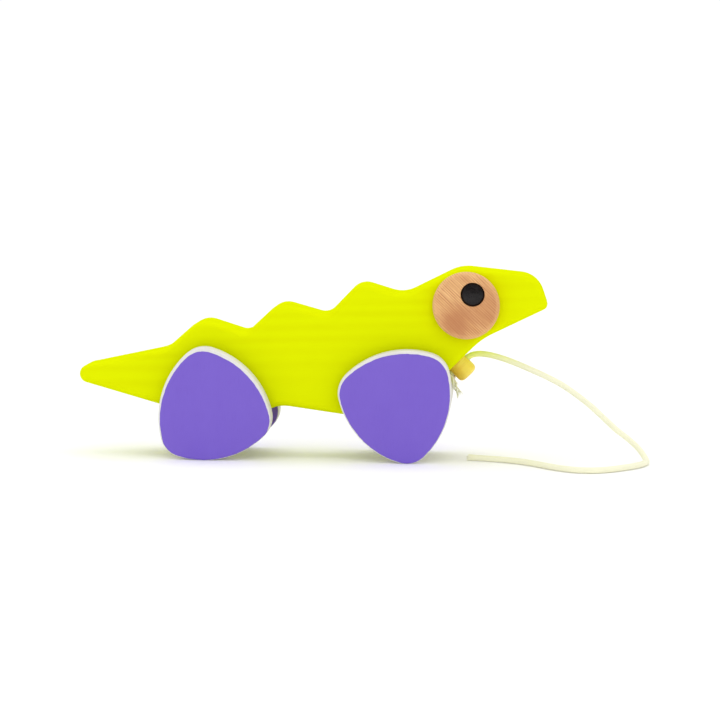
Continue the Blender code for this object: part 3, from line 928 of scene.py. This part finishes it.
def wheel_outline():
    """The three-cornered outline with a corner towards +Z, and its outward directions."""
    side = WHEEL_WIDTH - 2.0 * WHEEL_CORNER_RADIUS
    reach = side / math.sqrt(3.0)
    corner_steps, flank_steps = 16, 20
    points = []
    normals = []
    for corner in range(3):
        direction = math.pi / 2.0 + corner * 2.0 * math.pi / 3.0
        tip = Vector((math.cos(direction), math.sin(direction))) * reach
        opposite = direction + math.pi / 3.0 + math.pi
        hinge = Vector((math.cos(opposite), math.sin(opposite))) * reach
        for step in range(corner_steps):
            normal = direction - math.pi / 6.0 + math.pi / 3.0 * step / corner_steps
            normals.append(Vector((math.cos(normal), math.sin(normal))))
            points.append(tip + normals[-1] * WHEEL_CORNER_RADIUS)
        for step in range(flank_steps):
            normal = direction + math.pi / 6.0 + math.pi / 3.0 * step / flank_steps
            normals.append(Vector((math.cos(normal), math.sin(normal))))
            points.append(hinge + normals[-1] * (side + WHEEL_CORNER_RADIUS))
    return points, normals


def make_wheel(label, side, sign, purple):
    """A wheel with its painted-edge distance stored on its points, and a blind hub hole."""
    body, x, z, corner_angle, paint_shift = AXLE_SETS[label]
    turn = Matrix.Rotation(corner_angle - math.pi / 2.0, 2)
    points, normals = wheel_outline()
    points = [turn @ p for p in points]
    normals = [turn @ n for n in normals]
    shift = Vector(paint_shift)
    most_shift = PAINT_MARGIN - LEAST_MARGIN
    bm = bmesh.new()
    margin = bm.verts.layers.float.new("margin")

    def ring_at(y, inset, hub_share=0.0):
        ring = []
        for p, n in zip(points, normals):
            place = p - n * inset
            if hub_share > 0.0:
                place = place.lerp(p.normalized() * BORE_RADIUS, hub_share)
            vert = bm.verts.new((x + place.x, sign * y, z + place.y))
            vert[margin] = inset + min(shift.dot(n), most_shift)
            ring.append(vert)
        return ring

    low, high = WHEEL_INNER_Y, WHEEL_INNER_Y + WHEEL_THICKNESS
    outer_inset, inner_inset = WHEEL_FACE_INSETS
    rings = [ring_at(low + HUB_DEPTH, WHEEL_HUB_INSET, 1.0), ring_at(low, WHEEL_HUB_INSET, 1.0),
             ring_at(low, WHEEL_HUB_INSET, 0.5), ring_at(low, inner_inset),
             ring_at(low, outer_inset)]
    rings += [ring_at(y, inset) for y, inset in
              edge_profile(low, high, WHEEL_EDGE_RADIUS, WHEEL_EDGE_STEPS)]
    rings += [ring_at(high, outer_inset), ring_at(high, inner_inset)]
    join_rings(bm, rings)
    bm.faces.new(rings[0])
    bm.faces.new(rings[-1])
    name = label + "_wheel_" + side
    wheel = object_from_bmesh(name + "_painted", bm, purple, body)
    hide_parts(name)


def make_axle(label, beech):
    """The dowel that joins an axle's two wheels."""
    body, x, z, _, _ = AXLE_SETS[label]
    end = rounded_end(AXLE_RADIUS, AXLE_END_RADIUS, 3)
    profile = end + [(2.0 * AXLE_REACH - distance, radius) for distance, radius in reversed(end)]
    bm = bmesh.new()
    turned_rings(bm, profile, (x, -AXLE_REACH, z), (0.0, 1.0, 0.0), AXLE_SEGMENTS)
    axle = object_from_bmesh(label + "_axle_dowel", bm, beech, body)
    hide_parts(label + "_axle")


def make_eye(side, sign, beech):
    """A disc with an off-centre hole: rings run round the rim and in to the hole."""
    bevel = EYE_HOLE_BEVEL
    rows = [(EYE_BACK, PUPIL_HOLE_RADIUS, 1.0), (EYE_BACK, EYE_MIDDLE_RADIUS, 0.4)]
    rows += [(y, EYE_RADIUS - inset, 0.0) for y, inset in
             edge_profile(EYE_BACK, EYE_FRONT, EYE_EDGE_RADIUS, EDGE_STEPS)]
    rows += [(EYE_FRONT, EYE_MIDDLE_RADIUS, 0.4),
             (EYE_FRONT, PUPIL_HOLE_RADIUS + bevel + EYE_HOLE_SUPPORT, 1.0),
             (EYE_FRONT, PUPIL_HOLE_RADIUS + bevel, 1.0),
             (EYE_FRONT - 0.3 * bevel, PUPIL_HOLE_RADIUS + 0.3 * bevel, 1.0),
             (EYE_FRONT - bevel, PUPIL_HOLE_RADIUS, 1.0)]
    bm = bmesh.new()
    rim = bm.verts.layers.float.new("rim")
    rings = []
    for y, radius, towards_hole in rows:
        x = EYE_X + (PUPIL_X - EYE_X) * towards_hole
        z = EYE_Z + (PUPIL_Z - EYE_Z) * towards_hole
        ring = []
        for index in range(EYE_SEGMENTS):
            angle = 2.0 * math.pi * index / EYE_SEGMENTS
            vert = bm.verts.new((x + radius * math.cos(angle), sign * y,
                                 z + radius * math.sin(angle)))
            # nearness to the rounded edge, where the wood is painted paler, partly as a highlight
            inward = (EYE_RADIUS - radius) / EYE_EDGE_RADIUS
            vert[rim] = max(0.0, 1.0 - inward / 1.2) ** 0.7
            ring.append(vert)
        rings.append(ring)
    join_rings(bm, rings + [rings[0]])
    disc = object_from_bmesh("eye_" + side, bm, beech, "toy_body")
    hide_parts("eye_disc_" + side)


def make_pupil(side, sign, black):
    """A dowel with a domed front, through the eye disc into the head."""
    length = PUPIL_FRONT - PUPIL_FOOT
    profile = domed_front(PUPIL_RADIUS, PUPIL_EDGE_RADIUS, PUPIL_DOME, PUPIL_RADIUS, 8, 5)
    profile += [(length - PUPIL_FOOT_CHAMFER, PUPIL_RADIUS),
                (length, PUPIL_RADIUS - PUPIL_FOOT_CHAMFER), (length, 0.0)]
    bm = bmesh.new()
    turned_rings(bm, profile, (PUPIL_X, sign * PUPIL_FRONT, PUPIL_Z), (0.0, -sign, 0.0),
                 DOWEL_SEGMENTS)
    plug = object_from_bmesh("pupil_plug_" + side, bm, black, "toy_body")
    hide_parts("pupil_" + side)


def make_peg(peg_wood):
    """The towing peg, with a cross hole for the cord just above the chest."""
    length = PEG_STANDS_OUT + PEG_DEPTH
    profile = domed_front(PEG_RADIUS, PEG_EDGE_RADIUS, PEG_DOME, PEG_RADIUS - PEG_EDGE_RADIUS,
                          5, 12)
    profile += [(length - PEG_FOOT_CHAMFER, PEG_RADIUS),
                (length, PEG_RADIUS - PEG_FOOT_CHAMFER), (length, 0.0)]
    bm = bmesh.new()
    turned_rings(bm, profile, PEG_FOOT + PEG_OUTWARD * PEG_STANDS_OUT, -PEG_OUTWARD,
                 DOWEL_SEGMENTS)
    peg = object_from_bmesh("peg_dowel", bm, peg_wood, "toy_body")
    reach = PEG_RADIUS + HOLE_OVERSHOOT
    start = PEG_FOOT + PEG_OUTWARD * CROSS_HOLE_HEIGHT - PEG_UPWARD * reach
    cut_holes(peg, [(start, PEG_UPWARD, 2.0 * reach, CROSS_HOLE_RADIUS)])
    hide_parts("towing_peg")


def build():
    """The camera and the cord first, then the studio and the rest of the toy."""
    add_camera()
    make_cord(cotton_material())
    add_studio()
    make_body(lime_material())
    purple = wheel_material()
    across_y = (0.0, 0.0, math.radians(90.0))
    dowel = beech_material("beech_dowel", across_y, (0.70, 0.45, 0.23), (0.60, 0.35, 0.16),
                           (0.44, 0.23, 0.10), 1.0)
    for label in AXLE_SETS:
        make_axle(label, dowel)
        for side, sign in SIDES.items():
            make_wheel(label, side, sign, purple)
    black = black_material()
    for side, sign in SIDES.items():
        make_eye(side, sign, eye_beech(side, sign))
        make_pupil(side, sign, black)
    make_peg(peg_beech())


build()
